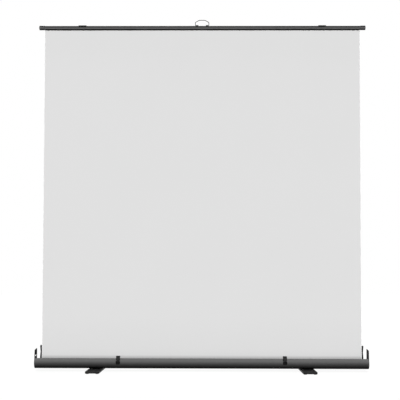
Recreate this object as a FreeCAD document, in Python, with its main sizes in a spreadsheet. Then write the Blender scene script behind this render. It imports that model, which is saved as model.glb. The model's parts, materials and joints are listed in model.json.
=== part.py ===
import FreeCAD, Part
import math
import os
import re

import Sketcher

# Floor-standing projection screen, in millimetres. X runs along the screen, Y points away from the viewer,
# Z is up, and the origin lies on the floor under the middle of the feet. The screen is drawn pulled up.

doc = FreeCAD.newDocument("projection_screen")
vector = FreeCAD.Vector

SIZES = {
    # projection fabric and the bar that lifts it
    "fabric_width": 2000,
    "fabric_thickness": 0.4,
    "bar_height": 2173.5,
    "bar_stowed_height": 74.5,
    "bar_setback": 6,
    "bar_diameter": 25,
    "bar_wall": 1.6,
    "bar_slot": 3,
    "bar_overhang": 37,
    "bar_cap_diameter": 28,
    "bar_cap_length": 33,
    "bar_cap_end": 3,
    "bar_cap_rounding": 3,
    "hem_rod_diameter": 5,
    # floor case
    "case_overhang": 43,
    "case_bottom": 17,
    "case_round_radius": 32.3,
    "case_front": 48,
    "case_rear": 52,
    "case_rear_height": 73.5,
    "case_wall": 2,
    "case_corner": 4,
    "mouth_front": 23.5,
    "port_radius": 3.5,
    "port_bore": 1.6,
    "port_sink": 0.3,
    "port_drop": 1,
    "end_cap_thickness": 4,
    "end_cap_edge": 1.2,
    "boss_radius": 9,
    "boss_length": 12,
    # upstanding ears of the end caps and the bar guides beside them
    "ear_front": 40,
    "ear_front_top": 32,
    "ear_rear": 34,
    "ear_front_height": 132.5,
    "ear_rear_height": 138.5,
    "ear_rounding": 4,
    "ear_slot_front": 30,
    "ear_slot_rear": 29,
    "ear_slot_front_height": 88,
    "ear_slot_rear_height": 94,
    "ear_slot_front_width": 11,
    "ear_slot_rear_width": 7,
    "guide_inset": 33,
    "guide_thickness": 6,
    "guide_front": 10,
    "guide_rear": 42,
    "guide_height": 158.5,
    "guide_notch_depth": 17,
    "guide_notch_drop": 42,
    "guide_notch_length": 72,
    "guide_flange_width": 18,
    "guide_flange_thickness": 2.5,
    # roller
    "roller_diameter": 28,
    "roller_wall": 1.2,
    "roller_height": 43.5,
    "roller_end_gap": 1,
    "fabric_wrap": 0.6,
    "journal_diameter": 8,
    "plug_length": 40,
    "plug_flange": 1.5,
    "cartridge_length": 220,
    # folding arms
    "arm_width": 20,
    "arm_thickness": 6,
    "arm_edge": 0.8,
    "arm_front": 12.5,
    "arm_inset": 238,
    "elbow_spread": 98,
    "arm_channel_width": 9,
    "arm_channel_depth": 1.2,
    "arm_channel_margin": 34,
    "base_pivot_height": 50.5,
    "top_pivot_drop": 4,
    "pair_gap": 1.5,
    "chain_gap": 1,
    "pin_diameter": 8,
    "pin_head_diameter": 14,
    "pin_head_thickness": 1.8,
    "pin_head_recess": 2,
    "pin_head_gap": 0.4,
    "washer_diameter": 18,
    "spacer_diameter": 12,
    # brackets of the arms
    "bracket_thickness": 2.5,
    "bracket_gap": 0.4,
    "bracket_width": 32,
    "bracket_flange": 15,
    "bracket_side": 5,
    "lug_radius": 9,
    "lug_thickness": 2.5,
    "saddle_width": 48,
    "saddle_thickness": 4,
    "saddle_front_rise": 7,
    # wire handle
    "handle_spread": 43,
    "handle_rise": 49,
    "handle_wire": 3.8,
    "handle_flat": 19,
    "handle_shoulder": 35,
    "handle_bend": 6,
    "handle_toe": 4,
    "handle_pin_end": 27,
    "handle_pivot_rise": 14.8,
    "handle_block_inner": 24,
    "handle_block_outer": 38.7,
    "handle_block_wall": 1.4,
    "handle_block_half": 6,
    # feet
    "foot_inset": 339,
    "foot_width": 86,
    "foot_half_length": 205,
    "foot_rounding": 7,
    "foot_edge": 2,
    "foot_wall": 3,
    "foot_end_wall": 30,
    "foot_rib": 4,
    "foot_skin": 3,
    "foot_hub": 15,
    "pad_thickness": 3,
    "pad_radius": 9,
    "pad_inset": 13,
    "foot_spacer_thickness": 2,
    "foot_spacer_radius": 22,
    "bolt_diameter": 8,
    "bolt_head_diameter": 14,
    "bolt_head_thickness": 4,
    "bolt_head_recess": 5,
    "bolt_head_gap": 0.4,
    "nut_diameter": 14,
    "nut_thickness": 6,
    "bolt_end": 2,
    # catches on the case front
    "latch_inset": 480,
    "latch_width": 25,
    "latch_knuckle_width": 14,
    "latch_knuckle_gap": 0.4,
    "latch_plate": 2.5,
    "latch_pin_diameter": 4,
    "latch_eye": 4.2,
    "latch_pivot_offset": 6,
    "latch_pivot_angle": 20,
    "latch_cheek_angle": 14,
    "latch_cheek_rise": 3,
    "latch_plate_low_angle": 6,
    "latch_plate_high_angle": 10,
    "latch_arch_clearance": 0.65,
    "latch_arch_thickness": 3.5,
    "latch_arch_end_angle": 78,
    "latch_head_angle": 36,
    "latch_claw_clearance": 0.4,
    "latch_claw_thickness": 3,
    "latch_claw_tip_angle": 46,
    "latch_claw_back_angle": 40,
    "latch_claw_heel_angle": 22,
    "latch_open_angle": 18.85,
    # screws
    "screw_head_radius": 3.2,
    "screw_head_thickness": 1.8,
    "screw_shank_radius": 1.5,
    "screw_length": 4.4,
    "cap_screw_length": 16,
    # clearances
    "running_gap": 0.05,
    "seat_gap": 0.3,
    "fit_gap": 0.1,
    "open_pivot_gap": 0.3,
    "cut_margin": 1,
}

# Places that follow from the sizes
PLACES = {
    "fabric_half": "fabric_width/2",
    "bar_reach": "fabric_half + bar_overhang",
    "case_reach": "fabric_half + case_overhang",
    "guide_inner": "case_reach - guide_inset",
    "arm_spread": "fabric_half - arm_inset",
    "foot_spread": "fabric_half - foot_inset",
    "latch_spread": "fabric_half - latch_inset",
    "bar_y": "-bar_setback",
    "bar_radius": "bar_diameter/2",
    "hem_rod_z": "bar_height - bar_radius + bar_wall + seat_gap + hem_rod_diameter/2",
    "fabric_top": "hem_rod_z - hem_rod_diameter/2 - fit_gap",
    "round_y": "case_round_radius - case_front",
    "round_z": "case_bottom + case_round_radius",
    "case_floor": "case_bottom + case_wall",
    "inner_radius": "case_round_radius - case_wall",
    "inner_reach": "case_reach - end_cap_thickness",
    "lip_outer_z": "round_z + sqrt(case_round_radius^2 - (mouth_front + round_y)^2)",
    "lip_inner_z": "round_z + sqrt(inner_radius^2 - (mouth_front + round_y)^2)",
    "ear_foot_z": "round_z + sqrt(case_round_radius^2 - (ear_front + round_y)^2)",
    "port_y": "case_rear - case_wall - port_radius + port_sink",
    "port_low_z": "case_floor + port_radius - port_sink",
    "port_high_z": "case_rear_height - port_radius - port_drop",
    "wrap_radius": "roller_diameter/2 + fit_gap/2 + fabric_wrap",
    "roller_y": "bar_y - fabric_thickness/2 - seat_gap - wrap_radius",
    "roller_reach": "inner_reach - boss_length - roller_end_gap",
    "roller_bore": "roller_diameter/2 - roller_wall",
    "top_pivot_height": "bar_height - top_pivot_drop",
    "arm_rise": "(top_pivot_height - base_pivot_height)/2",
    "arm_run": "arm_spread - elbow_spread",
    "arm_length": "sqrt(arm_rise^2 + arm_run^2)",
    "elbow_height": "base_pivot_height + arm_rise",
    "pair_step": "arm_thickness + pair_gap",
    "chain_step": "2*arm_thickness + pair_gap + chain_gap",
    "pin_hole": "pin_diameter/2 + running_gap",
    "saddle_bore": "bar_radius + fit_gap",
    "saddle_outer": "bar_radius + fit_gap + saddle_thickness",
    "lug_front": "bar_y + bar_radius + fit_gap",
    "lug_back": "lug_front + lug_thickness",
    "handle_pivot_z": "bar_height + handle_pivot_rise",
    "handle_top_z": "bar_height + handle_rise",
    "handle_hole": "handle_wire/2 + running_gap",
    "shoulder_run": "handle_spread - handle_flat",
    "shoulder_rise": "handle_rise - handle_shoulder",
    "shoulder_length": "sqrt(shoulder_run^2 + shoulder_rise^2)",
    "low_bend": "handle_bend*(shoulder_length - shoulder_rise)/shoulder_run",
    "high_bend": "handle_bend*(shoulder_length - shoulder_run)/shoulder_rise",
    "foot_top": "case_bottom - foot_spacer_thickness - seat_gap",
    "foot_bottom": "pad_thickness",
    "bolt_hole": "bolt_diameter/2 + running_gap",
    "latch_inner": "case_round_radius + fit_gap",
    "latch_outer": "latch_inner + latch_plate",
    "latch_pivot_radius": "case_round_radius + latch_pivot_offset",
    "latch_pivot_y": "round_y - latch_pivot_radius*cos(latch_pivot_angle)",
    "latch_pivot_z": "round_z + latch_pivot_radius*sin(latch_pivot_angle)",
    "latch_hole": "latch_pin_diameter/2 + running_gap",
    "arch_inner": "case_round_radius + latch_arch_clearance",
    "arch_outer": "arch_inner + latch_arch_thickness",
    "claw_inner": "bar_radius + latch_claw_clearance",
    "claw_outer": "claw_inner + latch_claw_thickness",
    "screw_hole": "screw_shank_radius + fit_gap",
}

sheet = doc.addObject("Spreadsheet::Sheet", "dims")
for row, (size_name, size) in enumerate(SIZES.items(), 1):
    sheet.set(f"A{row}", size_name)
    sheet.set(f"B{row}", str(size))
    sheet.setAlias(f"B{row}", size_name)
doc.recompute()

SIDES = {"left": -1, "right": 1}
parts = []


def formula(text):
    """The expression for a formula that is written in the names above."""

    def spell(match):
        word = match.group(0)
        if word in SIZES:
            return "dims." + word
        if word in PLACES:
            return "(" + formula(PLACES[word]) + ")"
        return word

    return re.sub(r"[a-z_][a-z0-9_]*", spell, text)


def value(text):
    """What a formula comes to, in millimetres."""
    return float(sheet.evalExpression(formula(text)))


def bind(thing, name, text):
    thing.setExpression(name, formula(text))


def new_body(label):
    body = doc.addObject("PartDesign::Body", "body_" + label)
    body.Label = label
    parts.append(body)
    return body


# Sketches: a loop is a circle, or a list of corners. A corner is (u, v), or (u, v, radius, turn) where an arc
# of that radius leads to the next corner, turning left (1) or right (-1).


def circle(u, v, radius):
    return ("circle", u, v, radius)


def rectangle(u_low, v_low, u_high, v_high):
    return [(u_low, v_low), (u_high, v_low), (u_high, v_high), (u_low, v_high)]


def pin_point(sketch, element, end, u, v):
    """Holds one point of a sketch at formulas u and v."""
    for kind, text in (("DistanceX", u), ("DistanceY", v)):
        held = sketch.addConstraint(Sketcher.Constraint(kind, -1, 1, element, end, value(text)))
        bind(sketch, f"Constraints[{held}]", text)


def hold_radius(sketch, element, text):
    held = sketch.addConstraint(Sketcher.Constraint("Radius", element, value(text)))
    bind(sketch, f"Constraints[{held}]", text)


def arc_between(first, last, radius, turn):
    """The arc of a radius between two points, less than a half circle."""
    chord = last - first
    height = math.sqrt(radius**2 - (chord.Length / 2) ** 2)
    across = vector(-chord.y, chord.x, 0).normalize()
    centre = (first + last) / 2 + across * (height * turn)
    start, end = (first, last) if turn > 0 else (last, first)
    angles = [math.atan2(p.y - centre.y, p.x - centre.x) for p in (start, end)]
    return Part.ArcOfCircle(Part.Circle(centre, vector(0, 0, 1), radius), angles[0], angles[1])


def add_outline(sketch, corners, closed=True):
    """Lines and arcs from corner to corner, each corner held at its formulas."""
    points = [vector(value(c[0]), value(c[1]), 0) for c in corners]
    count = len(corners) if closed else len(corners) - 1
    ends = []
    for i in range(count):
        first, last = points[i], points[(i + 1) % len(points)]
        if len(corners[i]) == 4:
            radius, turn = corners[i][2], corners[i][3]
            element = sketch.addGeometry(arc_between(first, last, value(radius), turn), False)
            ends.append((element, 1, 2) if turn > 0 else (element, 2, 1))
        else:
            element = sketch.addGeometry(Part.LineSegment(first, last), False)
            ends.append((element, 1, 2))
    for i in range(count if closed else count - 1):
        element, _, finish = ends[i]
        following, start, _ = ends[(i + 1) % count]
        sketch.addConstraint(Sketcher.Constraint("Coincident", element, finish, following, start))
    for i in range(count):
        pin_point(sketch, ends[i][0], ends[i][1], corners[i][0], corners[i][1])
    if not closed:
        pin_point(sketch, ends[-1][0], ends[-1][2], corners[-1][0], corners[-1][1])
    for i in range(count):
        if len(corners[i]) == 4:
            hold_radius(sketch, ends[i][0], corners[i][2])


def add_sketch(body, name, plane, start, loops, closed=True):
    """A sketch on one of the body's own planes, moved along it to start."""
    sketch = body.newObject("Sketcher::SketchObject", f"{body.Name}_{name}_sketch")
    role = plane + "_Plane"
    support = next(f for f in body.Origin.OriginFeatures if f.Role == role)
    sketch.AttachmentSupport = [(support, "")]
    sketch.MapMode = "FlatFace"
    bind(sketch, "AttachmentOffset.Base.z", f"-({start})" if plane == "XZ" else start)
    for loop in loops:
        if loop[0] == "circle":
            _, u, v, radius = loop
            centre = vector(value(u), value(v), 0)
            ring = Part.Circle(centre, vector(0, 0, 1), value(radius))
            element = sketch.addGeometry(ring, False)
            pin_point(sketch, element, 3, u, v)
            hold_radius(sketch, element, radius)
        else:
            add_outline(sketch, loop, closed)
    return sketch


def slab(body, name, plane, low, high, loops, cut=False):
    """Adds the loops' solid between two levels of the plane's normal axis, or cuts it out."""
    sketch = add_sketch(body, name, plane, high if plane == "XZ" else low, loops)
    feature = body.newObject("PartDesign::Pocket" if cut else "PartDesign::Pad", f"{body.Name}_{name}")
    feature.Profile = sketch
    bind(feature, "Length", f"({high}) - ({low})")
    feature.Reversed = cut
    return feature


def turned(label, plane, centre, steps, bore=None):
    """A turned piece: cylinders (low, high, radius) in line, with a through bore where one is given."""
    body = new_body(label)
    for i, (low, high, radius) in enumerate(steps):
        slab(body, f"step{i}", plane, low, high, [circle(*centre, radius)])
    if bore:
        slab(body, "bore", plane, steps[0][0], steps[-1][1], [circle(*centre, bore)], cut=True)
    return body


def round_edges(body, name, radius, pick):
    """Rounds the edges of the body so far that pick chooses."""
    doc.recompute()
    base = body.Tip
    chosen = [f"Edge{i}" for i, edge in enumerate(base.Shape.Edges, 1) if pick(edge)]
    feature = body.newObject("PartDesign::Fillet", f"{body.Name}_{name}")
    feature.Base = (base, chosen)
    bind(feature, "Radius", radius)
    return feature


def span(side, near, far):
    """The levels (low, high) along X of what reaches from near to far on one side."""
    return (near, far) if side > 0 else (f"-({far})", f"-({near})")


def screws(label, direction, seats, length="screw_length"):
    """A group of screws whose heads sit on seats, with shanks that point along direction."""
    turn = FreeCAD.Rotation(vector(0, 0, 1), direction)
    members = []
    for i, seat in enumerate(seats):
        pieces = []
        for kind, radius, height, rise in (
            ("head", "screw_head_radius", "screw_head_thickness", "-screw_head_thickness"),
            ("shank", "screw_shank_radius", length, "0"),
        ):
            cylinder = doc.addObject("Part::Cylinder", f"{label}_{kind}{i}")
            bind(cylinder, "Radius", radius)
            bind(cylinder, "Height", height)
            place = vector(*[value(c) for c in seat]) + direction * value(rise)
            cylinder.Placement = FreeCAD.Placement(place, turn)
            pieces.append(cylinder)
        joined = doc.addObject("Part::Fuse", f"{label}_screw{i}")
        joined.Base, joined.Tool = pieces
        members.append(joined)
    group = doc.addObject("Part::Compound", label + "_group")
    group.Links = members
    group.Label = label
    parts.append(group)


def on_round(radius, angle, sign=1):
    """A point at an angle above the level line, on a circle round the case front's centre."""
    return f"round_y - ({radius})*cos({angle})", f"round_z + {sign}*({radius})*sin({angle})"


def on_stowed_bar(radius, angle):
    """A point at an angle above the level line, on the viewer's side of the stowed bar."""
    return f"bar_y - ({radius})*cos({angle})", f"bar_stowed_height + ({radius})*sin({angle})"


def case_shell():
    """Extruded case: round front up to the mouth's lip, flat floor, lower rear wall and two screw ports."""
    body = new_body("case_shell")
    inner_corner = "case_corner - case_wall"
    section = [
        ("-mouth_front", "lip_outer_z", "case_round_radius", 1),
        ("-case_front", "round_z", "case_round_radius", 1),
        ("round_y", "case_bottom"),
        ("case_rear - case_corner", "case_bottom", "case_corner", 1),
        ("case_rear", "case_bottom + case_corner"),
        ("case_rear", "case_rear_height"),
        ("case_rear - case_wall", "case_rear_height"),
        ("case_rear - case_wall", "case_bottom + case_corner", inner_corner, -1),
        ("case_rear - case_corner", "case_floor"),
        ("round_y", "case_floor", "inner_radius", -1),
        ("case_wall - case_front", "round_z", "inner_radius", -1),
        ("-mouth_front", "lip_inner_z"),
    ]
    slab(body, "section", "YZ", "-inner_reach", "inner_reach", [section])
    for name, height in (("low_port", "port_low_z"), ("high_port", "port_high_z")):
        ends = ("-inner_reach", "inner_reach")
        slab(body, name, "YZ", *ends, [circle("port_y", height, "port_radius")])
        slab(body, name + "_bore", "YZ", *ends, [circle("port_y", height, "port_bore")], cut=True)
    bolt_holes = [circle(f"{sign}*foot_spread", "0", "bolt_hole") for sign in SIDES.values()]
    slab(body, "bolt_holes", "XY", "case_bottom", "case_floor", bolt_holes, cut=True)


def case_end_cap(side_name, side):
    """End cap: closes the case, holds the roller in a boss and stands up in an ear beside the stowed bar.

    The left ear has a slanting slot, wider towards the viewer.
    """
    body = new_body("case_end_cap_" + side_name)
    outline = [
        ("round_y", "case_bottom"),
        ("case_rear - case_corner", "case_bottom", "case_corner", 1),
        ("case_rear", "case_bottom + case_corner"),
        ("case_rear", "case_rear_height"),
        ("ear_rear", "case_rear_height"),
        ("ear_rear", "ear_rear_height - ear_rounding", "ear_rounding", 1),
        ("ear_rear - ear_rounding", "ear_rear_height"),
        ("ear_rounding - ear_front_top", "ear_front_height", "ear_rounding", 1),
        ("-ear_front_top", "ear_front_height - ear_rounding"),
        ("-ear_front", "ear_foot_z", "case_round_radius", 1),
        ("-case_front", "round_z", "case_round_radius", 1),
    ]
    slab(body, "plate", "YZ", *span(side, "inner_reach", "case_reach"), [outline])
    outer = value("case_reach") - 1e-3
    round_edges(body, "rim", "end_cap_edge", lambda e: abs(e.CenterOfMass.x) > outer)
    boss = circle("roller_y", "roller_height", "boss_radius")
    slab(body, "boss", "YZ", *span(side, "inner_reach - boss_length", "inner_reach"), [boss])
    hole = circle("roller_y", "roller_height", "journal_diameter/2 + running_gap")
    slab(body, "boss_hole", "YZ", *span(side, "inner_reach - boss_length", "inner_reach"), [hole], cut=True)
    screw_holes = [circle("port_y", height, "screw_hole") for height in ("port_low_z", "port_high_z")]
    slab(body, "screw_holes", "YZ", *span(side, "inner_reach", "case_reach"), screw_holes, cut=True)
    if side < 0:
        slot = [
            ("-ear_slot_front", "ear_slot_front_height"),
            ("ear_slot_rear", "ear_slot_rear_height"),
            ("ear_slot_rear", "ear_slot_rear_height + ear_slot_rear_width"),
            ("-ear_slot_front", "ear_slot_front_height + ear_slot_front_width"),
        ]
        slab(body, "slot", "YZ", *span(side, "inner_reach", "case_reach"), [slot], cut=True)


def bar_guide(side_name, side):
    """Upright guide behind the bar's end, notched at the front, on a flange on the case floor."""
    body = new_body("bar_guide_" + side_name)
    blade = [
        ("guide_front", "case_floor"),
        ("guide_rear", "case_floor"),
        ("guide_rear", "guide_height - ear_rounding", "ear_rounding", 1),
        ("guide_rear - ear_rounding", "guide_height"),
        ("guide_front + ear_rounding", "guide_height", "ear_rounding", 1),
        ("guide_front", "guide_height - ear_rounding"),
        ("guide_front + guide_notch_depth", "guide_height - guide_notch_drop"),
        ("guide_front", "guide_height - guide_notch_length"),
    ]
    slab(body, "blade", "YZ", *span(side, "guide_inner", "guide_inner + guide_thickness"), [blade])
    near, far = "guide_inner - guide_flange_width", "guide_inner + guide_thickness"
    x_low, x_high = span(side, near, far)
    flange = rectangle(x_low, "guide_front", x_high, "guide_rear")
    slab(body, "flange", "XY", "case_floor", "case_floor + guide_flange_thickness", [flange])
    hole = circle(f"{side}*(guide_inner - guide_flange_width/2)", "(guide_front + guide_rear)/2",
                  "screw_hole")
    slab(body, "hole", "XY", "case_floor", "case_floor + guide_flange_thickness", [hole], cut=True)


def roller():
    """Roller tube with the last turns of fabric, its left journal and its spring cartridge on the right."""
    axis = ("roller_y", "roller_height")
    tube = new_body("roller_tube")
    rings = [circle(*axis, "roller_diameter/2"), circle(*axis, "roller_bore")]
    slab(tube, "tube", "YZ", "-roller_reach", "roller_reach", rings)
    wraps = new_body("fabric_wraps")
    rings = [circle(*axis, "wrap_radius"), circle(*axis, "roller_diameter/2 + fit_gap/2")]
    slab(wraps, "wraps", "YZ", "-fabric_half", "fabric_half", rings)
    turned("roller_plug_left", "YZ", axis, [
        ("seat_gap - inner_reach", "-roller_reach - plug_flange", "journal_diameter/2"),
        ("-roller_reach - plug_flange/2", "-roller_reach", "roller_diameter/2"),
        ("-roller_reach", "plug_length - roller_reach", "roller_bore - fit_gap"),
    ])
    turned("spring_shaft", "YZ", axis, [
        ("roller_reach - cartridge_length + plug_length", "inner_reach - fit_gap", "journal_diameter/2"),
    ])
    turned("spring_cartridge", "YZ", axis, [
        ("roller_reach - cartridge_length", "roller_reach", "roller_bore - fit_gap"),
        ("roller_reach", "roller_reach + plug_flange/2", "roller_diameter/2"),
    ], bore="journal_diameter/2 + running_gap")


def arm(label, pivot, front, angle, heads, far_gap="running_gap"):
    """Flat arm along X from its first pivot, channelled on both faces, with recesses for the pin heads."""
    body = new_body(label)
    half = "arm_width/2"
    outline = [
        ("0", f"-{half}"),
        ("arm_length", f"-{half}", half, 1),
        (f"arm_length + {half}", "0", half, 1),
        ("arm_length", half),
        ("0", half, half, 1),
        (f"-{half}", "0", half, 1),
    ]
    slab(body, "bar", "XZ", "0", "arm_thickness", [outline])
    reach = value(half) - 1e-3

    def on_rim(edge):
        bounds = edge.BoundBox
        flat = bounds.YLength < 1e-6
        middle = edge.valueAt((edge.FirstParameter + edge.LastParameter) / 2)
        along = min(max(middle.x, 0), value("arm_length"))
        return flat and math.hypot(middle.x - along, middle.z) > reach

    round_edges(body, "rim", "arm_edge", on_rim)
    channel = rectangle("arm_channel_margin", "-arm_channel_width/2", "arm_length - arm_channel_margin",
                        "arm_channel_width/2")
    channel_floor = "arm_thickness - arm_channel_depth"
    slab(body, "front_channel", "XZ", "0", "arm_channel_depth", [channel], cut=True)
    slab(body, "rear_channel", "XZ", channel_floor, "arm_thickness", [channel], cut=True)
    gaps = ("running_gap", far_gap)
    recesses = {
        "front": ("0", "pin_head_recess"),
        "rear": ("arm_thickness - pin_head_recess", "arm_thickness"),
    }
    for i, (place, face) in enumerate(zip(("0", "arm_length"), heads)):
        hole = circle(place, "0", f"pin_diameter/2 + {gaps[i]}")
        slab(body, f"hole{i}", "XZ", "0", "arm_thickness", [hole], cut=True)
        recess = circle(place, "0", "pin_head_diameter/2 + pin_head_gap")
        slab(body, f"recess{i}", "XZ", *recesses[face], [recess], cut=True)
    turn = FreeCAD.Rotation(vector(0, 1, 0), -angle)
    body.Placement = FreeCAD.Placement(vector(value(pivot[0]), value(front), value(pivot[1])), turn)


def base_bracket(side_name, side, front):
    """Bracket on the case floor that carries an arm's lower pivot, with a round-topped plate and a flange."""
    body = new_body("base_bracket_" + side_name)
    back = f"{front} - bracket_gap"
    plate_front = f"{back} - bracket_thickness"
    half = "bracket_width/2"
    crown = "base_pivot_height"
    radius = "arm_width/2"
    x_low, x_mid, x_high = (f"{side}*arm_spread {offset}" for offset in (f"- {half}", "", f"+ {half}"))
    plate = [
        (x_low, "case_floor"),
        (x_high, "case_floor"),
        (x_high, "case_floor + bracket_side"),
        (f"{x_mid} + {radius}", crown, radius, 1),
        (x_mid, f"{crown} + {radius}", radius, 1),
        (f"{x_mid} - {radius}", crown),
        (x_low, "case_floor + bracket_side"),
    ]
    slab(body, "plate", "XZ", plate_front, back, [plate])
    flange = rectangle(x_low, plate_front, x_high, f"{back} + bracket_flange")
    slab(body, "flange", "XY", "case_floor", "case_floor + bracket_thickness", [flange])
    slab(body, "pin_hole", "XZ", plate_front, back, [circle(x_mid, crown, "pin_hole")], cut=True)
    holes = [circle(f"{x_mid} {sign} {half}/2", f"{back} + bracket_flange/2", "screw_hole")
             for sign in "+-"]
    slab(body, "screw_holes", "XY", "case_floor", "case_floor + bracket_thickness", holes, cut=True)
    head_front = f"{front} + arm_thickness - pin_head_recess + fit_gap"
    turned("base_pin_" + side_name, "XZ", (x_mid, crown), [
        (f"{plate_front} - pin_head_thickness", plate_front, "pin_head_diameter/2"),
        (plate_front, head_front, "pin_diameter/2"),
        (head_front, f"{front} + arm_thickness", "pin_head_diameter/2"),
    ])


def top_bracket(side_name, side, upper_front):
    """Clip over the bar with a lug behind it, the pin that an upper arm turns on, and the pin's spacer."""
    body = new_body("top_bracket_" + side_name)
    low, high = f"{side}*arm_spread - saddle_width/2", f"{side}*arm_spread + saddle_width/2"
    rise = "saddle_front_rise"
    bore_run = f"sqrt(saddle_bore^2 - {rise}^2)"
    outer_run = f"sqrt(saddle_outer^2 - {rise}^2)"
    shoulder = "sqrt(saddle_outer^2 - (lug_back - bar_y)^2)"
    clip = [
        (f"bar_y - {bore_run}", f"bar_height + {rise}", "saddle_bore", -1),
        ("bar_y", "bar_height + saddle_bore", "saddle_bore", -1),
        ("lug_front", "bar_height"),
        ("lug_front", "top_pivot_height - lug_radius"),
        ("lug_back", "top_pivot_height - lug_radius"),
        ("lug_back", f"bar_height + {shoulder}", "saddle_outer", 1),
        ("bar_y", "bar_height + saddle_outer", "saddle_outer", 1),
        (f"bar_y - {outer_run}", f"bar_height + {rise}"),
    ]
    slab(body, "clip", "YZ", low, high, [clip])
    axis = (f"{side}*arm_spread", "top_pivot_height")
    slab(body, "pin_hole", "XZ", "lug_front", "lug_back", [circle(*axis, "pin_hole")], cut=True)
    screw_holes = [circle(f"{side}*arm_spread {sign} saddle_width/3", "bar_height", "screw_hole")
                   for sign in "+-"]
    slab(body, "screw_holes", "XZ", "lug_front - lug_thickness", "lug_back", screw_holes, cut=True)
    head_front = f"{upper_front} + arm_thickness - pin_head_recess + fit_gap"
    turned("top_pin_" + side_name, "XZ", axis, [
        ("lug_front + fit_gap", head_front, "pin_diameter/2"),
        (head_front, f"{upper_front} + arm_thickness", "pin_head_diameter/2"),
    ])
    turned("top_spacer_" + side_name, "XZ", axis, [
        ("lug_back", f"{upper_front} - seat_gap", "spacer_diameter/2"),
    ], bore="pin_hole")


def fold_linkage():
    """Two folding arm chains, one behind the other, each from a base bracket by its elbow to the bar."""
    angle = math.degrees(math.asin(value("arm_rise") / value("arm_length")))
    for name, side in SIDES.items():
        lower = "arm_front" if side < 0 else "arm_front + chain_step"
        upper = f"{lower} + pair_step"
        inward = angle if side < 0 else 180 - angle
        base = (f"{side}*arm_spread", "base_pivot_height")
        elbow = (f"{side}*elbow_spread", "elbow_height")
        top_gap = "running_gap" if side < 0 else "open_pivot_gap"
        base_bracket(name, side, lower)
        arm("lower_arm_" + name, base, lower, inward, ("rear", "front"))
        arm("upper_arm_" + name, elbow, upper, 180 - inward, ("rear", "rear"), top_gap)
        turned("elbow_pin_" + name, "XZ", elbow, [
            (lower, f"{lower} + pin_head_recess - fit_gap", "pin_head_diameter/2"),
            (f"{lower} + pin_head_recess - fit_gap", f"{upper} + arm_thickness - pin_head_recess + fit_gap",
             "pin_diameter/2"),
            (f"{upper} + arm_thickness - pin_head_recess + fit_gap", f"{upper} + arm_thickness",
             "pin_head_diameter/2"),
        ])
        turned("elbow_washer_" + name, "XZ", elbow, [
            (f"{lower} + arm_thickness + seat_gap", f"{upper} - seat_gap", "washer_diameter/2"),
        ], bore="pin_hole")
        top_bracket(name, side, upper)


def top_bar():
    """Round bar tube, slotted below for the fabric's hem, with fatter end caps and the hem rod inside."""
    tube = new_body("top_bar")
    axis = ("bar_y", "bar_height")
    reach = "bar_reach - bar_cap_end - fit_gap"
    rings = [circle(*axis, "bar_radius"), circle(*axis, "bar_radius - bar_wall")]
    slab(tube, "tube", "YZ", f"-({reach})", reach, [*rings])
    slot = rectangle("bar_y - bar_slot/2", "bar_height - bar_radius - cut_margin", "bar_y + bar_slot/2",
                     "bar_height - bar_radius + bar_wall + cut_margin")
    slab(tube, "slot", "YZ", f"-({reach})", reach, [slot], cut=True)
    for name, side in SIDES.items():
        cap = new_body("top_bar_cap_" + name)
        slab(cap, "cap", "YZ", *span(side, "bar_reach - bar_cap_length", "bar_reach"),
             [circle(*axis, "bar_cap_diameter/2")])
        outer = value("bar_reach") - 1e-3
        round_edges(cap, "rounding", "bar_cap_rounding", lambda e: abs(e.CenterOfMass.x) > outer)
        slab(cap, "bore", "YZ", *span(side, "bar_reach - bar_cap_length", "bar_reach - bar_cap_end"),
             [circle(*axis, "bar_radius + fit_gap")], cut=True)
    turned("hem_rod", "YZ", ("bar_y", "hem_rod_z"), [("-fabric_half", "fabric_half", "hem_rod_diameter/2")])


def screen_fabric():
    """Flat projection fabric from the roller up into the bar's slot."""
    fabric = doc.addObject("Part::Box", "fabric_box")
    bind(fabric, "Length", "fabric_width")
    bind(fabric, "Width", "fabric_thickness")
    bind(fabric, "Height", "fabric_top - roller_height")
    bind(fabric, "Placement.Base.x", "-fabric_half")
    bind(fabric, "Placement.Base.y", "bar_y - fabric_thickness/2")
    bind(fabric, "Placement.Base.z", "roller_height")
    fabric.Label = "screen_fabric"
    parts.append(fabric)


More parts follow.
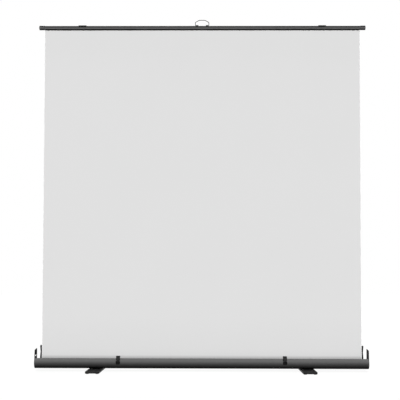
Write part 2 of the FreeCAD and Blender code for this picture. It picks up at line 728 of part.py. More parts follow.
def handle():
    """Wire bail with sloping shoulders that turns in two blocks on the bar."""
    body = new_body("handle_bail")
    lean, climb = "shoulder_run/shoulder_length", "shoulder_rise/shoulder_length"
    shoulder_z = "bar_height + handle_shoulder"
    half_wire = [
        ("handle_pin_end", "handle_pivot_z"),
        ("handle_spread - handle_toe", "handle_pivot_z"),
        ("handle_spread", "handle_pivot_z + handle_toe"),
        ("handle_spread", f"{shoulder_z} - low_bend"),
        (f"handle_spread - low_bend*{lean}", f"{shoulder_z} + low_bend*{climb}"),
        (f"handle_flat + high_bend*{lean}", f"handle_top_z - high_bend*{climb}"),
        ("handle_flat - high_bend", "handle_top_z"),
    ]
    bends = {1: "handle_toe", 3: "handle_bend", 5: "handle_bend"}
    corners = []
    for i, (u, v) in enumerate(half_wire):
        arc = (bends[i], -1) if i in bends else ()
        corners.append((f"-({u})", v, *arc))
    for i, (u, v) in reversed(list(enumerate(half_wire))):
        arc = (bends[i - 1], -1) if i - 1 in bends else ()
        corners.append((u, v, *arc))
    path = add_sketch(body, "path", "XZ", "bar_y", [corners], closed=False)
    wire = circle("bar_y", "handle_pivot_z", "handle_wire/2")
    section = add_sketch(body, "section", "YZ", "-handle_pin_end", [wire])
    pipe = body.newObject("PartDesign::AdditivePipe", "handle_pipe")
    pipe.Profile = section
    pipe.Spine = path
    for name, side in SIDES.items():
        block = new_body("handle_block_" + name)
        crown = "handle_hole + handle_block_wall"
        half = "handle_block_half"
        foot_z = f"bar_height + sqrt(saddle_bore^2 - {half}^2)"
        outline = [
            (f"bar_y - {half}", foot_z, "saddle_bore", -1),
            (f"bar_y + {half}", foot_z),
            (f"bar_y + {crown}", "handle_pivot_z", crown, 1),
            ("bar_y", f"handle_pivot_z + {crown}", crown, 1),
            (f"bar_y - ({crown})", "handle_pivot_z"),
        ]
        levels = span(side, "handle_block_inner", "handle_block_outer")
        slab(block, "block", "YZ", *levels, [outline])
        slab(block, "hole", "YZ", *levels, [circle("bar_y", "handle_pivot_z", "handle_hole")], cut=True)


def foot(side_name, side):
    """Flat foot across the case that swivels on a bolt, ribbed below, with a rubber pad at each corner."""
    body = new_body("foot_" + side_name)
    centre = f"{side}*foot_spread"
    half = "foot_width/2"
    plate = rectangle(f"{centre} - {half}", "-foot_half_length", f"{centre} + {half}", "foot_half_length")
    slab(body, "plate", "XY", "foot_bottom", "foot_top", [plate])
    round_edges(body, "corners", "foot_rounding", lambda e: e.BoundBox.ZLength > 1)
    top = value("foot_top") - 1e-3
    round_edges(body, "rim", "foot_edge", lambda e: e.BoundBox.ZMin > top)
    cells = []
    hub, end = "foot_hub", "(foot_half_length - foot_end_wall)"
    middle = f"(({hub} + {end})/2)"
    columns = ((f"-{half} + foot_wall", "-foot_rib/2"), ("foot_rib/2", f"{half} - foot_wall"))
    for low, high in ((hub, f"{middle} - foot_rib/2"), (f"{middle} + foot_rib/2", end)):
        for y_low, y_high in ((low, high), (f"-({high})", f"-({low})")):
            for x_low, x_high in columns:
                cells.append(rectangle(f"{centre} + ({x_low})", y_low, f"{centre} + ({x_high})", y_high))
    slab(body, "cells", "XY", "foot_bottom", "foot_top - foot_skin", cells, cut=True)
    axis = (centre, "0")
    slab(body, "hole", "XY", "foot_bottom", "foot_top", [circle(*axis, "bolt_hole")], cut=True)
    slab(body, "recess", "XY", "foot_bottom", "foot_bottom + bolt_head_recess",
         [circle(*axis, "bolt_head_diameter/2 + bolt_head_gap")], cut=True)
    pads = []
    for x_sign in (-1, 1):
        for y_sign in (-1, 1):
            pad = doc.addObject("Part::Cylinder", f"pad_{side_name}_{x_sign + 1}{y_sign + 1}")
            bind(pad, "Radius", "pad_radius")
            bind(pad, "Height", "pad_thickness")
            bind(pad, "Placement.Base.x", f"{centre} + {x_sign}*({half} - pad_inset)")
            bind(pad, "Placement.Base.y", f"{y_sign}*(foot_half_length - pad_inset)")
            pads.append(pad)
    group = doc.addObject("Part::Compound", "pads_" + side_name)
    group.Links = pads
    group.Label = "foot_pads_" + side_name
    parts.append(group)
    head_top = "foot_bottom + bolt_head_recess - seat_gap"
    turned("foot_bolt_" + side_name, "XY", axis, [
        (f"{head_top} - bolt_head_thickness", head_top, "bolt_head_diameter/2"),
        (head_top, "case_floor + nut_thickness + bolt_end", "bolt_diameter/2"),
    ])
    turned("foot_spacer_" + side_name, "XY", axis,
           [("case_bottom - foot_spacer_thickness", "case_bottom", "foot_spacer_radius")], bore="bolt_hole")
    turned("foot_nut_" + side_name, "XY", axis,
           [("case_floor", "case_floor + nut_thickness", "nut_diameter/2")], bore="bolt_hole")


def latch(side_name, side):
    """Catch on the case front: a curved base with two knuckles, a pin, and a hook that arches over."""
    centre = f"{side}*latch_spread"
    wide = (f"{centre} - latch_width/2", f"{centre} + latch_width/2")
    narrow = (f"{centre} - latch_knuckle_width/2", f"{centre} + latch_knuckle_width/2")
    pivot = ("latch_pivot_y", "latch_pivot_z")
    base = new_body("latch_base_" + side_name)
    plate = [
        (*on_round("latch_inner", "latch_plate_high_angle"), "latch_inner", 1),
        on_round("latch_inner", "latch_plate_low_angle", -1),
        (*on_round("latch_outer", "latch_plate_low_angle", -1), "latch_outer", -1),
        on_round("latch_outer", "latch_plate_high_angle"),
    ]
    slab(base, "plate", "YZ", *wide, [plate])
    knuckles = (
        (wide[0], f"{narrow[0]} - latch_knuckle_gap"),
        (f"{narrow[1]} + latch_knuckle_gap", wide[1]),
    )
    cheek = [
        (*on_round("latch_inner", "latch_pivot_angle"), "latch_inner", 1),
        on_round("latch_inner", "0"),
        on_round("latch_outer", "0"),
        on_round("latch_pivot_radius + latch_cheek_rise", "latch_cheek_angle"),
        on_round("latch_pivot_radius", "latch_pivot_angle"),
    ]
    for i, levels in enumerate(knuckles):
        slab(base, f"cheek{i}", "YZ", *levels, [cheek])
        slab(base, f"knuckle{i}", "YZ", *levels, [circle(*pivot, "latch_eye")])
    slab(base, "pin_hole", "YZ", *wide, [circle(*pivot, "latch_hole")], cut=True)
    turned("latch_pin_" + side_name, "YZ", pivot, [(*wide, "latch_pin_diameter/2")])

    hook = new_body("latch_hook_" + side_name)
    slab(hook, "eye", "YZ", *narrow, [circle(*pivot, "latch_eye")])
    neck = [
        (*on_round("arch_outer", "latch_head_angle"), "arch_outer", 1),
        on_round("arch_outer", "latch_pivot_angle"),
        (*on_round("arch_inner", "latch_pivot_angle"), "arch_inner", -1),
        on_round("arch_inner", "latch_head_angle"),
    ]
    slab(hook, "neck", "YZ", *narrow, [neck])
    head = [
        (*on_stowed_bar("claw_outer", "latch_claw_tip_angle"), "claw_outer", 1),
        on_stowed_bar("claw_outer", "latch_claw_back_angle"),
        (*on_round("arch_outer", "latch_arch_end_angle"), "arch_outer", 1),
        on_round("arch_outer", "latch_head_angle"),
        (*on_round("arch_inner", "latch_head_angle"), "arch_inner", -1),
        on_round("arch_inner", "latch_arch_end_angle"),
        (*on_stowed_bar("claw_inner", "latch_claw_heel_angle"), "claw_inner", -1),
        on_stowed_bar("claw_inner", "latch_claw_tip_angle"),
    ]
    slab(hook, "head", "YZ", *wide, [head])
    slab(hook, "pin_hole", "YZ", *narrow, [circle(*pivot, "latch_hole")], cut=True)
    turn = FreeCAD.Rotation(vector(1, 0, 0), value("latch_open_angle"))
    hook.Placement = FreeCAD.Placement(vector(), turn, vector(0, value(pivot[0]), value(pivot[1])))


def fasteners():
    """Screws of the end caps, arm brackets, bar clips and guides."""
    down, inward, forward = vector(0, 0, -1), vector(-1, 0, 0), vector(0, -1, 0)
    for name, side in SIDES.items():
        screws("end_cap_screws_" + name, inward * side,
               [(f"{side}*case_reach", "port_y", height) for height in ("port_low_z", "port_high_z")],
               "cap_screw_length")
    bracket_seats = []
    clip_seats = []
    guide_seats = []
    for side in SIDES.values():
        lower = "arm_front" if side < 0 else "arm_front + chain_step"
        flange_middle = f"{lower} - bracket_gap + bracket_flange/2"
        for sign in (-1, 1):
            bracket_seats.append((f"{side}*arm_spread + {sign}*bracket_width/4", flange_middle,
                                  "case_floor + bracket_thickness"))
            clip_seats.append((f"{side}*arm_spread + {sign}*saddle_width/3", "lug_back", "bar_height"))
        guide_seats.append((f"{side}*(guide_inner - guide_flange_width/2)", "(guide_front + guide_rear)/2",
                            "case_floor + guide_flange_thickness"))
    screws("bracket_screws", down, bracket_seats)
    screws("clip_screws", forward, clip_seats)
    screws("guide_screws", down, guide_seats)


case_shell()
roller()
fold_linkage()
top_bar()
screen_fabric()
handle()
for side_name, side in SIDES.items():
    case_end_cap(side_name, side)
    bar_guide(side_name, side)
    foot(side_name, side)
    latch(side_name, side)
fasteners()
doc.recompute()

for item in doc.Objects:
    if "Invalid" in item.State or "Error" in item.State:
        raise RuntimeError(f"{item.Label} failed: {item.State}")
for part in parts:
    if part.Shape.isNull() or not part.Shape.isValid():
        raise RuntimeError(f"{part.Label} has no valid shape")
os.makedirs("parts", exist_ok=True)
for part in parts:
    part.Shape.exportStep(f"parts/{part.Label}.step")
print(len(parts), "parts written")
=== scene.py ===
import json
import math

import bpy
from mathutils import Matrix, Vector


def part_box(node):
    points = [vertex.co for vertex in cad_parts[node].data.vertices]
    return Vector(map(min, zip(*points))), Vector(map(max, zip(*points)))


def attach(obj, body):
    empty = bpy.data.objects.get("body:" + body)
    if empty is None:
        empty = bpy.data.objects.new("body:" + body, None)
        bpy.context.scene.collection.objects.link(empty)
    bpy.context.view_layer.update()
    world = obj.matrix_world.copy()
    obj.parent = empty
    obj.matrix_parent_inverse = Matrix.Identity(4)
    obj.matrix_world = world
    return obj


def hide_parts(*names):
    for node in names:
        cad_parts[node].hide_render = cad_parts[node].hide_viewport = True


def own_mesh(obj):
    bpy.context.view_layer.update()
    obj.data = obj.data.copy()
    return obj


# Looks of a floor-standing projection screen: fabric, metals and plastics, studio light, camera.
# Lengths are in metres and angles in degrees. Greys are shares of white in linear light.

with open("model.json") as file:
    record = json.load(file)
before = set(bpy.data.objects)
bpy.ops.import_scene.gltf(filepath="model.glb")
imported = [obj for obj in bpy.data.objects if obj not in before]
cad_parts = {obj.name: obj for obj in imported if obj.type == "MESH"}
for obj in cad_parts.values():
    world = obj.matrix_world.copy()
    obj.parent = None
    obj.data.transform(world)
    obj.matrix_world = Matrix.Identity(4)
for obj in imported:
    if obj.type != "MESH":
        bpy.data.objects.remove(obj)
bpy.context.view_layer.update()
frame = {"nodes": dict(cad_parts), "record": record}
nodes = frame["nodes"]
slot_of = {part["node"]: part["material_slot"] for part in frame["record"]["subparts"]}

# Most of a noise pattern lies between these values.
NOISE_LOW, NOISE_HIGH = 0.3, 0.7
# The phase of Blender's wave texture grows by this much per metre at scale 1.
WAVE_PHASE = 20.0

# Die lines: noise per metre along X, Y and Z, on pieces drawn along X and on the slanting arms.
LINES_ALONG_X = (3.0, 700.0, 700.0)
LINES_ON_ARMS = (180.0, 700.0, 180.0)

# Fabric: distance of its threads, height of a band of painted shade above the case, and the share of
# its tone that is left from the foot of that band, 0, to its top, 1.
THREAD_PITCH = 0.0011
PAINTED_SHADE_HEIGHT = 0.26
PAINTED_SHADE_FOOT = (
    (0.0, 0.60), (0.026, 0.70), (0.052, 0.84), (0.078, 0.93), (0.22, 0.968), (0.55, 0.982), (1.0, 1.0),
)

# Painted light and shade: shares of a tone that are kept from a surface that faces down, 0, to one that
# faces up, 1.
# The case: painted shade on what faces down.
CASE_PAINTED_SHADE = ((0.28, 0.44), (0.72, 1.0))
# The bar: a painted highlight on its lower front, painted shade on top and underneath.
BAR_PAINTED_LIGHT = ((0.09, 0.03), (0.20, 1.0), (0.33, 1.0), (0.45, 0.26), (0.62, 0.22), (0.75, 0.03))
# The bar's end caps: a painted highlight on their lower front, painted shade on top and underneath.
CAP_PAINTED_LIGHT = ((0.12, 0.02), (0.19, 1.0), (0.36, 1.0), (0.44, 0.55), (0.58, 0.55), (0.68, 0.02))

# Screws: zinc plating, how far apart the points of one head lie, and their cross recess, whose tone is
# painted shade.
ZINC = {"dark": 0.34, "light": 0.46, "rough": 0.36}
HEAD_REACH = 0.008
CROSS_HALF_LENGTH = 0.0019
CROSS_HALF_WIDTH = 0.0004
RECESS_PAINTED_SHADE = (0.01, 0.01, 0.01, 1)

# Fabric's winding: turns that stay on the roller, and the gap between roller and first turn.
TURNS_KEPT = 1.4
WINDING_GAP = 0.0001

# Camera, fitted to the photograph.
CAMERA_PLACE = (0.0472, -5.736, 0.568)
CAMERA_YAW, CAMERA_PITCH, CAMERA_ROLL = -0.5778, 2.5455, 0.1268
CAMERA_SENSOR_MM = 36.0
CAMERA_LENS_MM = 81.925
CAMERA_SHIFT = 0.0997


class Look:
    """A node material in the making, textured by the place on the object in metres."""

    def __init__(self, name, metallic=0.0, specular=0.5):
        self.material = bpy.data.materials.new(name)
        self.material.use_nodes = True
        self.tree = self.material.node_tree
        self.shader = self.tree.nodes["Principled BSDF"]
        self.set("Metallic", metallic)
        self.set("Specular IOR Level", specular)
        self.place = self.add("ShaderNodeTexCoord").outputs["Object"]

    def add(self, kind, **settings):
        node = self.tree.nodes.new(kind)
        for key, value in settings.items():
            setattr(node, key, value)
        return node

    def feed(self, socket, value):
        """Links an output to a socket, or sets a constant on it."""
        if isinstance(value, bpy.types.NodeSocket):
            self.tree.links.new(value, socket)
        else:
            socket.default_value = value

    def set(self, name, value):
        self.feed(self.shader.inputs[name], value)

    def math(self, operation, *values):
        node = self.add("ShaderNodeMath", operation=operation)
        for socket, value in zip(node.inputs, values):
            self.feed(socket, value)
        return node.outputs[0]

    def blend(self, first, second, share):
        """A weighted mean of two patterns, with a share of the second."""
        return self.math("MULTIPLY_ADD", first, 1 - share, self.math("MULTIPLY", second, share))

    def axis(self, name):
        """The place along X, Y or Z."""
        node = self.add("ShaderNodeSeparateXYZ")
        self.feed(node.inputs[0], self.place)
        return node.outputs[name]

    def facing(self, axis, start, full):
        """0 to 1 as the surface's normal along an axis of the object goes from start to full."""
        node = self.add("ShaderNodeSeparateXYZ")
        self.feed(node.inputs[0], self.add("ShaderNodeTexCoord").outputs["Normal"])
        return self.span(node.outputs[axis], start, full, 0.0, 1.0)

    def noise(self, scale, detail=3.0, rough=0.5):
        """Noise of a scale per metre, or of three scales along X, Y and Z."""
        mapping = self.add("ShaderNodeMapping")
        self.feed(mapping.inputs["Vector"], self.place)
        mapping.inputs["Scale"].default_value = scale if isinstance(scale, tuple) else (scale, scale, scale)
        node = self.add("ShaderNodeTexNoise")
        self.feed(node.inputs["Vector"], mapping.outputs[0])
        node.inputs["Scale"].default_value = 1.0
        node.inputs["Detail"].default_value = detail
        node.inputs["Roughness"].default_value = rough
        return node.outputs["Fac"]

    def bands(self, period, direction, distortion=0.0):
        """Sine bands of a period in metres, from 0 to 1."""
        node = self.add("ShaderNodeTexWave", bands_direction=direction)
        self.feed(node.inputs["Vector"], self.place)
        node.inputs["Scale"].default_value = math.tau / (WAVE_PHASE * period)
        node.inputs["Distortion"].default_value = distortion
        return node.outputs["Fac"]

    def levels(self, factor, *stops):
        """Greys at places from 0 to 1, with straight runs between them."""
        node = self.add("ShaderNodeValToRGB")
        points = node.color_ramp.elements
        while len(points) < len(stops):
            points.new(0.5)
        for point, (place, level) in zip(points, stops):
            point.position = place
            point.color = (level, level, level, 1)
        self.feed(node.inputs[0], factor)
        return node.outputs[0]

    def shades(self, pattern, dark, light):
        """Greys from dark to light over the usual range of a noise pattern."""
        return self.levels(pattern, (NOISE_LOW, dark), (NOISE_HIGH, light))

    def mix(self, kind, factor, first, second):
        node = self.add("ShaderNodeMix", data_type="RGBA", blend_type=kind)
        self.feed(node.inputs["Factor"], factor)
        for name, value in (("A", first), ("B", second)):
            socket = next(s for s in node.inputs if s.name == name and s.type == "RGBA")
            self.feed(socket, value)
        return next(s for s in node.outputs if s.type == "RGBA")

    def span(self, factor, low, high, first, last):
        """A pattern stretched from low and high to first and last."""
        node = self.add("ShaderNodeMapRange")
        for socket, value in zip(node.inputs, (factor, low, high, first, last)):
            self.feed(socket, value)
        return node.outputs[0]

    def painted_light_by_facing(self, tone, stops):
        """A tone times painted light and shade, given at places from 0, facing down, to 1, facing up."""
        return self.mix("MULTIPLY", 1.0, tone, self.levels(self.facing("Z", -1.0, 1.0), *stops))

    def gloss(self, pattern, smooth, dull):
        """Roughness from smooth to dull over the usual range of a noise pattern."""
        self.set("Roughness", self.span(pattern, NOISE_LOW, NOISE_HIGH, smooth, dull))

    def bump(self, height, strength, depth):
        node = self.add("ShaderNodeBump")
        node.inputs["Strength"].default_value = strength
        node.inputs["Distance"].default_value = depth
        self.feed(node.inputs["Height"], height)
        self.set("Normal", node.outputs[0])


def woven(name, dark, light, sheen, mouth=None):
    """Projection fabric: plain weave, faint clouds, soft sheen, and a band of painted shade above the case's
    mouth.
    """
    look = Look(name, specular=0.1)
    warp, weft = (look.bands(THREAD_PITCH, direction, distortion=0.4) for direction in "XZ")
    weave = look.math("MULTIPLY", warp, weft)
    clouds = look.noise(scale=2.2, detail=4.0)
    tone = look.levels(look.blend(clouds, weave, share=0.25), (0.25, dark), (0.75, light))
    if mouth:
        # Painted shade: the fabric gets darker towards the case's mouth, as if the case shaded it.
        rise = look.span(look.axis("Z"), mouth, mouth + PAINTED_SHADE_HEIGHT, 0.0, 1.0)
        tone = look.mix("MULTIPLY", 1.0, tone, look.levels(rise, *PAINTED_SHADE_FOOT))
    look.set("Base Color", tone)
    look.set("Roughness", look.span(weave, low=0.0, high=1.0, first=0.95, last=0.85))
    look.set("Sheen Weight", sheen)
    look.set("Sheen Roughness", 0.6)
    look.bump(weave, strength=0.2, depth=0.0002)
    return look.material


def drawn_metal(name, dark, light, rough, metallic=0.0, specular=0.02, lines=LINES_ALONG_X, painted_light_by_facing=()):
    """Extruded, anodised metal: fine die lines, handling marks, and painted light and shade by how its sides
    face.
    """
    look = Look(name, metallic, specular)
    die = look.noise(lines, detail=4.0, rough=0.6)
    marks = look.noise(scale=26.0, detail=5.0, rough=0.65)
    tone = look.shades(look.blend(die, marks, share=0.35), dark, light)
    # Painted light and shade: sides made lighter or darker by how they face.
    if painted_light_by_facing:
        tone = look.painted_light_by_facing(tone, painted_light_by_facing)
    look.set("Base Color", tone)
    look.gloss(marks, smooth=rough - 0.06, dull=rough + 0.06)
    look.bump(die, strength=0.1, depth=0.0001)
    return look.material


def plastic_patterns(look):
    """Spark grain, broad unevenness, and the mix of both that tints moulded plastic."""
    grain = look.noise(scale=1400.0, detail=2.0)
    broad = look.noise(scale=30.0, detail=4.0)
    return grain, broad, look.blend(broad, grain, share=0.3)


def moulded(name, dark, light, rough=0.5, specular=0.05, ribs=None, painted_top_shade=None, painted_light_by_facing=()):
    """Moulded plastic: spark grain, uneven gloss, and ribs, painted shade on what faces up, or painted light
    and shade by facing, where it has them.

    ribs are the period, direction and depth of grip ribs, and the top tone is a dark grey painted as shade
    on what faces up.
    """
    look = Look(name, specular=specular)
    grain, broad, pattern = plastic_patterns(look)
    tone = look.shades(pattern, dark, light)
    if painted_top_shade:
        # Painted shade: what faces up is darkened to the top tone.
        top = look.facing("Z", start=0.35, full=0.65)
        tone = look.mix("MIX", top, tone, look.shades(grain, dark=painted_top_shade, light=1.4 * painted_top_shade))
    # Painted light and shade by how the surface faces.
    if painted_light_by_facing:
        tone = look.painted_light_by_facing(tone, painted_light_by_facing)
    look.set("Base Color", tone)
    look.gloss(broad, smooth=rough - 0.07, dull=rough + 0.07)
    if ribs:
        period, direction, depth = ribs
        ridges = look.blend(look.bands(period, direction), grain, share=0.2)
        look.bump(ridges, strength=0.6, depth=depth)
    else:
        look.bump(grain, strength=0.25, depth=0.0002)
    return look.material


def end_cap_look(dark, light, ear_dark, ear_light, top):
    """End caps: dark grey where they close the case, black where the ears stand above its top."""
    look = Look("end_cap_two_tone", specular=0.02)
    grain, broad, pattern = plastic_patterns(look)
    ear = look.math("GREATER_THAN", look.axis("Z"), top)
    lower = look.shades(pattern, dark, light)
    upper = look.shades(pattern, ear_dark, ear_light)
    look.set("Base Color", look.mix("MIX", ear, lower, upper))
    look.gloss(broad, smooth=0.5, dull=0.64)
    look.bump(grain, strength=0.2, depth=0.0002)
    return look.material


def painted_steel(name, dark, light, rough):
    """Painted steel: orange-peel skin and rubbed patches."""
    look = Look(name, metallic=0.15, specular=0.3)
    rub = look.noise(scale=45.0, detail=5.0, rough=0.7)
    look.set("Base Color", look.levels(rub, (0.35, dark), (0.8, light)))
    look.set("Roughness", look.span(rub, low=0.3, high=0.8, first=rough - 0.08, last=rough + 0.05))
    look.bump(look.noise(scale=420.0, detail=2.0), strength=0.18, depth=0.0003)
    return look.material


def plated_steel(name, dark, light, rough, crosses=(), plane=""):
    """Plated steel: cloudy crystals, fine scratches, and cross recesses painted dark as shade where screw
    heads have them.

    crosses are the middles of the recesses in a plane, which names its two axes.
    """
    look = Look(name, metallic=0.9)
    clouds = look.noise(scale=160.0, detail=5.0, rough=0.7)
    scratches = look.noise(scale=(900.0, 60.0, 500.0), detail=3.0, rough=0.6)
    plating = look.shades(look.blend(clouds, scratches, share=0.4), dark, light)
    look.gloss(clouds, smooth=rough - 0.06, dull=rough + 0.1)
    if not crosses:
        look.set("Base Color", plating)
        look.bump(scratches, strength=0.1, depth=0.0001)
        return look.material
    recess = 0.0
    for centre in crosses:
        off = [look.math("ABSOLUTE", look.math("SUBTRACT", look.axis(a), c)) for a, c in zip(plane, centre)]
        for along, across in (off, reversed(off)):
            within_length = look.math("LESS_THAN", along, CROSS_HALF_LENGTH)
            within_width = look.math("LESS_THAN", across, CROSS_HALF_WIDTH)
            recess = look.math("MAXIMUM", recess, look.math("MULTIPLY", within_length, within_width))
    # Painted shade: the cross recesses are coloured near black.
    look.set("Base Color", look.mix("MIX", recess, plating, RECESS_PAINTED_SHADE))
    look.bump(look.math("SUBTRACT", 1.0, recess), strength=0.8, depth=0.0006)
    return look.material


def rubber(name, dark, light):
    """Rubber pads: speckled and dull."""
    look = Look(name, specular=0.2)
    speck = look.noise(scale=900.0, detail=3.0, rough=0.7)
    look.set("Base Color", look.shades(speck, dark, light))
    look.gloss(speck, smooth=0.8, dull=0.92)
    look.bump(speck, strength=0.4, depth=0.0003)
    return look.material


def head_places(node, plane):
    """Middles of a screw group's heads in a plane, from the clusters of its mesh's points."""
    picked = ["XYZ".index(a) for a in plane]
    clusters = []
    for vertex in nodes[node].data.vertices:
        spot = Vector([vertex.co[i] for i in picked])
        for cluster in clusters:
            if (cluster[0] - spot).length < HEAD_REACH:
                cluster.append(spot)
                break
        else:
            clusters.append([spot])
    return [tuple((Vector(map(min, *c)) + Vector(map(max, *c))) / 2) for c in clusters]


case_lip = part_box("case_shell")[1].z
looks = {
    "screen_cloth": woven("screen_front", dark=0.742, light=0.752, sheen=0.02, mouth=case_lip),
    # Painted shade: the case is darker where it faces down.
    "case_aluminium": drawn_metal("case_anodised", dark=0.078, light=0.092, rough=0.55, painted_light_by_facing=CASE_PAINTED_SHADE),
    # Painted highlight on the bar's lower front, with painted shade on its top and underside.
    "bar_aluminium": drawn_metal("bar_anodised", dark=0.219, light=0.254, rough=0.5, painted_light_by_facing=BAR_PAINTED_LIGHT),
    "bracket_steel": painted_steel("bracket_paint", dark=0.020, light=0.034, rough=0.45),
    "bright_steel": plated_steel("zinc", **ZINC),
    "black_plastic": moulded("black_moulding", dark=0.007, light=0.011),
    "pad_rubber": rubber("pad_rubber", dark=0.010, light=0.018),
}
cloth_back = woven("screen_back", dark=0.020, light=0.026, sheen=0.1)
arm_metal = drawn_metal("arm_anodised", dark=0.050, light=0.062, rough=0.45,
                        metallic=0.3, specular=0.3, lines=LINES_ON_ARMS)
# Painted shade: the feet are darker where they face up.
foot_look = moulded("foot_moulding", dark=0.018, light=0.024, ribs=(0.006, "Y", 0.0004), painted_top_shade=0.005)
latch_ribs = (0.0025, "Z", 0.0004)

# Looks of single pieces, by the start of their names, in place of the look of their slot.
own_looks = (
    ("lower_arm", arm_metal),
    ("upper_arm", arm_metal),
    ("bar_guide", moulded("guide_moulding", dark=0.006, light=0.009, specular=0.03)),
    ("case_end_cap", end_cap_look(dark=0.031, light=0.037, ear_dark=0.002, ear_light=0.003, top=case_lip)),
    ("foot_left", foot_look),
    ("foot_right", foot_look),
    ("latch_hook", moulded("latch_moulding", dark=0.007, light=0.010, rough=0.45, ribs=latch_ribs)),
    ("latch_base", moulded("latch_base_moulding", dark=0.007, light=0.010, rough=0.45)),
    ("handle_bail", moulded("bail_black_wire", dark=0.004, light=0.008, rough=0.4, specular=0.02)),
    ("handle_block", moulded("handle_block_moulding", dark=0.003, light=0.005, specular=0.02)),
    ("top_bracket", moulded("clip_moulding", dark=0.003, light=0.005, specular=0.02)),
    # Painted highlight across the caps' lower front, with painted shade on their top and underside.
    ("top_bar_cap", moulded("bar_cap_moulding", dark=0.156, light=0.183, rough=0.45, specular=0.03,
                            painted_light_by_facing=CAP_PAINTED_LIGHT)),
)

# Planes in which the heads of each screw group lie.
screw_planes = (
    ("end_cap_screws", "YZ"),
    ("clip_screws", "XZ"),
    ("bracket_screws", "XY"),
    ("guide_screws", "XY"),
)
for name, node in nodes.items():
    chosen = looks[slot_of[name]]
    for start, look in own_looks:
        if name.startswith(start):
            chosen = look
    for start, plane in screw_planes:
        if name.startswith(start):
            chosen = plated_steel(name + "_zinc", **ZINC, crosses=head_places(name, plane), plane=plane)
    node.data.materials.clear()
    node.data.materials.append(chosen)


def new_piece(name, verts, faces, materials, kinds=None, smooth=False):
    """A mesh object in the scene, with a material index per face where kinds are given."""
    mesh = bpy.data.meshes.new(name)
    mesh.from_pydata(verts, [], faces)
    for material in materials:
        mesh.materials.append(material)
    if kinds:
        mesh.polygons.foreach_set("material_index", kinds)
    mesh.polygons.foreach_set("use_smooth", [smooth] * len(mesh.polygons))
    mesh.update()
    piece = bpy.data.objects.new(name, mesh)
    bpy.context.scene.collection.objects.link(piece)
    return piece


def screen_cloth():
    """The pulled-up fabric: one flat sheet, pale in front and dark behind, tight between roller and bar."""
    low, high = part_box("screen_fabric")
    across, up = 80, 84
    front, back = 0, 1
    verts, faces, kinds = [], [], []
    for y in (low.y, high.y):
        for j in range(up + 1):
            z = low.z + (high.z - low.z) * j / up
            verts += [(low.x + (high.x - low.x) * i / across, y, z) for i in range(across + 1)]
    row, layer = across + 1, (across + 1) * (up + 1)
    for j in range(up):
        for i in range(across):
            a, d = j * row + i, (j + 1) * row + i
            faces.append((a, a + 1, d + 1, d))
            faces.append((a + layer, d + layer, d + 1 + layer, a + 1 + layer))
            kinds += [front, back]
    rim = list(range(row))
    rim += [j * row + across for j in range(1, up + 1)]
    rim += [up * row + i for i in range(across - 1, -1, -1)]
    rim += [j * row for j in range(up - 1, 0, -1)]
    for a, b in zip(rim, rim[1:] + rim[:1]):
        faces.append((a, a + layer, b + layer, b))
        kinds.append(front)
    piece = new_piece("screen_cloth", verts, faces, [looks["screen_cloth"], cloth_back], kinds)
    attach(piece, "case")
    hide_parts("screen_fabric")
    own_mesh(piece)


def cloth_winding():
    """The turns of fabric that stay on the roller, as a spiral."""
    low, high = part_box("fabric_wraps")
    middle = (low + high) / 2
    outer = (high.z - low.z) / 2
    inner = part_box("roller_tube")[1].z - middle.z + WINDING_GAP
    steps, spans = 90, 8
    verts, faces = [], []
    for k in range(steps + 1):
        angle = math.tau * TURNS_KEPT * k / steps
        radius = inner + (outer - inner) * k / steps
        y, z = middle.y + radius * math.cos(angle), middle.z + radius * math.sin(angle)
        verts += [(low.x + (high.x - low.x) * i / spans, y, z) for i in range(spans + 1)]
    for k in range(steps):
        for i in range(spans):
            a, d = k * (spans + 1) + i, (k + 1) * (spans + 1) + i
            faces.append((a, a + 1, d + 1, d))
    piece = new_piece("cloth_winding", verts, faces, [cloth_back], smooth=True)
    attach(piece, "roller")
    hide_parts("fabric_wraps")


screen_cloth()
cloth_winding()


def bright_rays(tree):
    """1 for the rays that see the white surroundings: from the camera, by mirror and through glass."""
    ray = tree.nodes.new("ShaderNodeLightPath")
    total = ray.outputs["Is Camera Ray"]
    for name in ("Is Glossy Ray", "Is Transmission Ray"):
        larger = tree.nodes.new("ShaderNodeMath")
        larger.operation = "MAXIMUM"
        tree.links.new(total, larger.inputs[0])
        tree.links.new(ray.outputs[name], larger.inputs[1])
        total = larger.outputs[0]
    return total


def floor(glow, half_size):
    """White ground that keeps a faint shadow, and gives little light back to the object."""
    look = Look("ground", specular=0.0)
    links = look.tree.links
    look.set("Base Color", look.shades(look.noise(scale=1.5), dark=0.055, light=0.065))
    shine = look.add("ShaderNodeEmission")
    shine.inputs["Strength"].default_value = glow
    seen = look.add("ShaderNodeAddShader")
    unseen = look.add("ShaderNodeBsdfDiffuse")
    unseen.inputs["Color"].default_value = (0.04, 0.04, 0.04, 1)
    pick = look.add("ShaderNodeMixShader")
    links.new(look.shader.outputs[0], seen.inputs[0])
    links.new(shine.outputs[0], seen.inputs[1])
    links.new(bright_rays(look.tree), pick.inputs[0])
    links.new(unseen.outputs[0], pick.inputs[1])
    links.new(seen.outputs[0], pick.inputs[2])
    links.new(pick.outputs[0], look.tree.nodes["Material Output"].inputs["Surface"])
    corners = [(x * half_size, y * half_size, 0) for x, y in ((-1, -1), (1, -1), (1, 1), (-1, 1))]
    new_piece("ground", corners, [(0, 1, 2, 3)], [look.material])


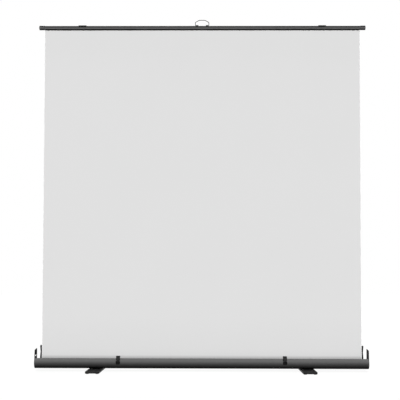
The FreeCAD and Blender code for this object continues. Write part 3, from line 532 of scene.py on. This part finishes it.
def surroundings(light):
    """A world that is seen white and gives a soft even light."""
    world = bpy.data.worlds.new("studio")
    bpy.context.scene.world = world
    world.use_nodes = True
    tree = world.node_tree
    tree.nodes.clear()
    soft, white = (tree.nodes.new("ShaderNodeBackground") for _ in range(2))
    for shade, strength in ((soft, light), (white, 1.0)):
        shade.inputs["Color"].default_value = (1, 1, 1, 1)
        shade.inputs["Strength"].default_value = strength
    pick = tree.nodes.new("ShaderNodeMixShader")
    out = tree.nodes.new("ShaderNodeOutputWorld")
    tree.links.new(bright_rays(tree), pick.inputs[0])
    tree.links.new(soft.outputs[0], pick.inputs[1])
    tree.links.new(white.outputs[0], pick.inputs[2])
    tree.links.new(pick.outputs[0], out.inputs["Surface"])


def lamp(name, direction, strength, softness):
    """A sun lamp that shines along a direction, so that top and bottom get the same light."""
    data = bpy.data.lights.new(name, "SUN")
    data.energy = strength
    data.angle = math.radians(softness)
    shining = bpy.data.objects.new(name, data)
    bpy.context.scene.collection.objects.link(shining)
    shining.rotation_mode = "QUATERNION"
    shining.rotation_quaternion = Vector(direction).to_track_quat("-Z", "Y")


def camera():
    """Low camera with a raised lens, as the photograph's upright sides show."""
    data = bpy.data.cameras.new("camera")
    data.sensor_width = CAMERA_SENSOR_MM
    data.lens = CAMERA_LENS_MM
    data.shift_y = CAMERA_SHIFT
    data.clip_start, data.clip_end = 0.1, 100.0
    eye = bpy.data.objects.new("camera", data)
    bpy.context.scene.collection.objects.link(eye)
    yaw, pitch, roll = (math.radians(a) for a in (CAMERA_YAW, CAMERA_PITCH, CAMERA_ROLL))
    forward = Vector((math.sin(yaw) * math.cos(pitch), math.cos(yaw) * math.cos(pitch), math.sin(pitch)))
    level = Vector((math.cos(yaw), -math.sin(yaw), 0))
    upright = level.cross(forward)
    right = level * math.cos(roll) + upright * math.sin(roll)
    up = upright * math.cos(roll) - level * math.sin(roll)
    turn = Matrix((right, up, -forward)).transposed()
    eye.matrix_world = Matrix.Translation(CAMERA_PLACE) @ turn.to_4x4()
    bpy.context.scene.camera = eye


floor(glow=0.905, half_size=30.0)
surroundings(light=0.18)
lamp("front_key", direction=(0, 1, -0.9), strength=3.63, softness=10)
lamp("overhead", direction=(0, 0, -1), strength=2.2, softness=10)
lamp("rear_fill", direction=(0.25, -1, -0.5), strength=2.2, softness=30)
camera()
bpy.context.scene.view_settings.view_transform = "Standard"
